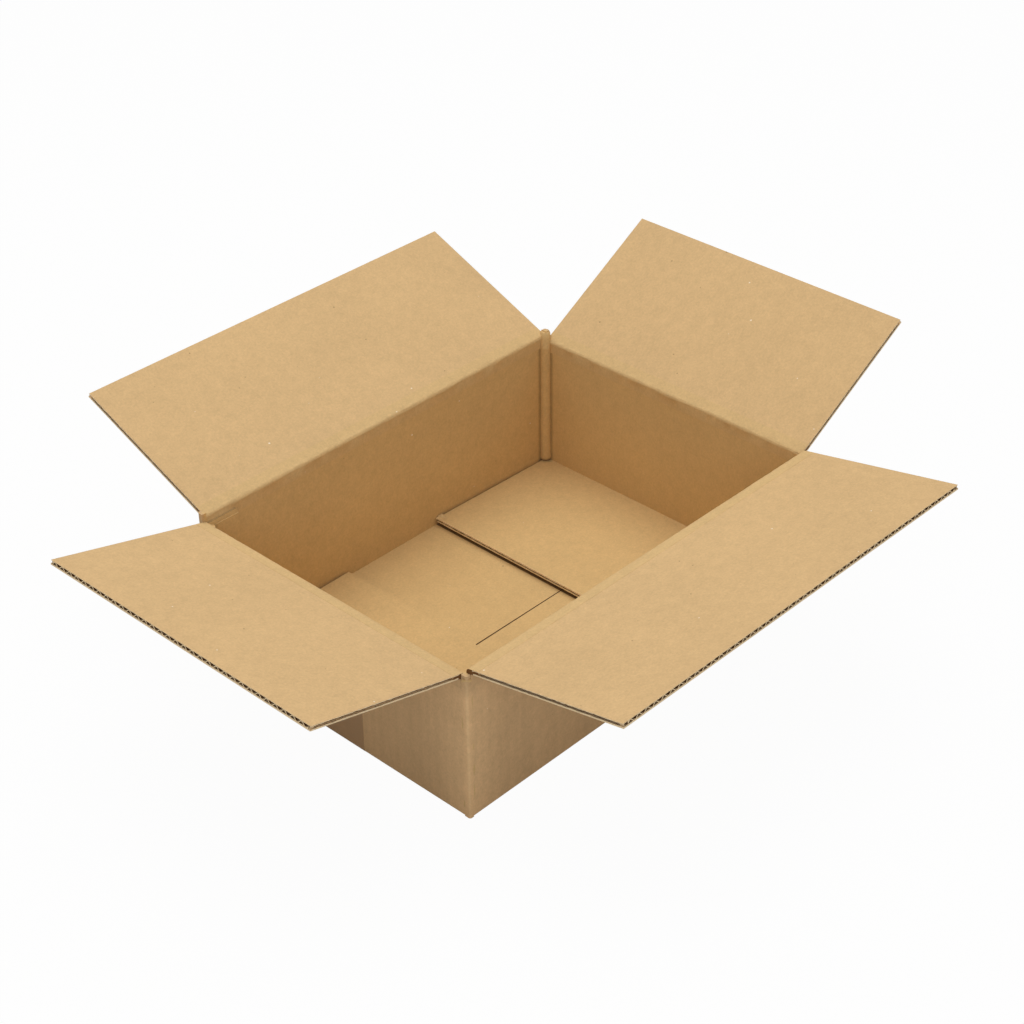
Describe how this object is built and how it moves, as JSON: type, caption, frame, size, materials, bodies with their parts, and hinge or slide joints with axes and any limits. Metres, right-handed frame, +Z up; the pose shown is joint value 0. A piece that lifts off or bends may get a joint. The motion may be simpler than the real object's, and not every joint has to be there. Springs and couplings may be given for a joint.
{
  "type": "cardboard box",
  "caption": "Low rectangular slotted carton of single-wall corrugated board, open on top, its hinged top flaps folded outward and its bottom flaps taped.",
  "frame": {"origin": "middle of the flat surface the box stands on, at the underside of the tape", "axes": "+X along the long walls, +Y across the box from the front wall to the back wall, +Z up through the open top"},
  "size_m": [0.5, 0.4272, 0.1536],
  "materials": {
    "board": "matte kraft paper",
    "tape": "satin"
  },
  "bodies": {
    "box": {"box_body": "board", "packing_tape": "tape"},
    "front_lid": {"front_flap": "board"},
    "back_lid": {"back_flap": "board"},
    "left_lid": {"left_flap": "board"},
    "right_lid": {"right_flap": "board"}
  },
  "joints": [
    {"name": "front_flap_hinge", "type": "hinge", "parent": "box", "child": "front_lid", "pos_m": [0, -0.1095, 0.1006], "axis": [1, 0, 0], "range_deg": [-168.2, 71.8]},
    {"name": "back_flap_hinge", "type": "hinge", "parent": "box", "child": "back_lid", "pos_m": [0, 0.1095, 0.1006], "axis": [-1, 0, 0], "range_deg": [-157.4, 82.6]},
    {"name": "left_flap_hinge", "type": "hinge", "parent": "box", "child": "left_lid", "pos_m": [-0.1495, 0, 0.0973], "axis": [0, -1, 0], "range_deg": [-165.2, 74.8]},
    {"name": "right_flap_hinge", "type": "hinge", "parent": "box", "child": "right_lid", "pos_m": [0.1495, 0, 0.0973], "axis": [0, 1, 0], "range_deg": [-150.3, 89.7]}
  ]
}
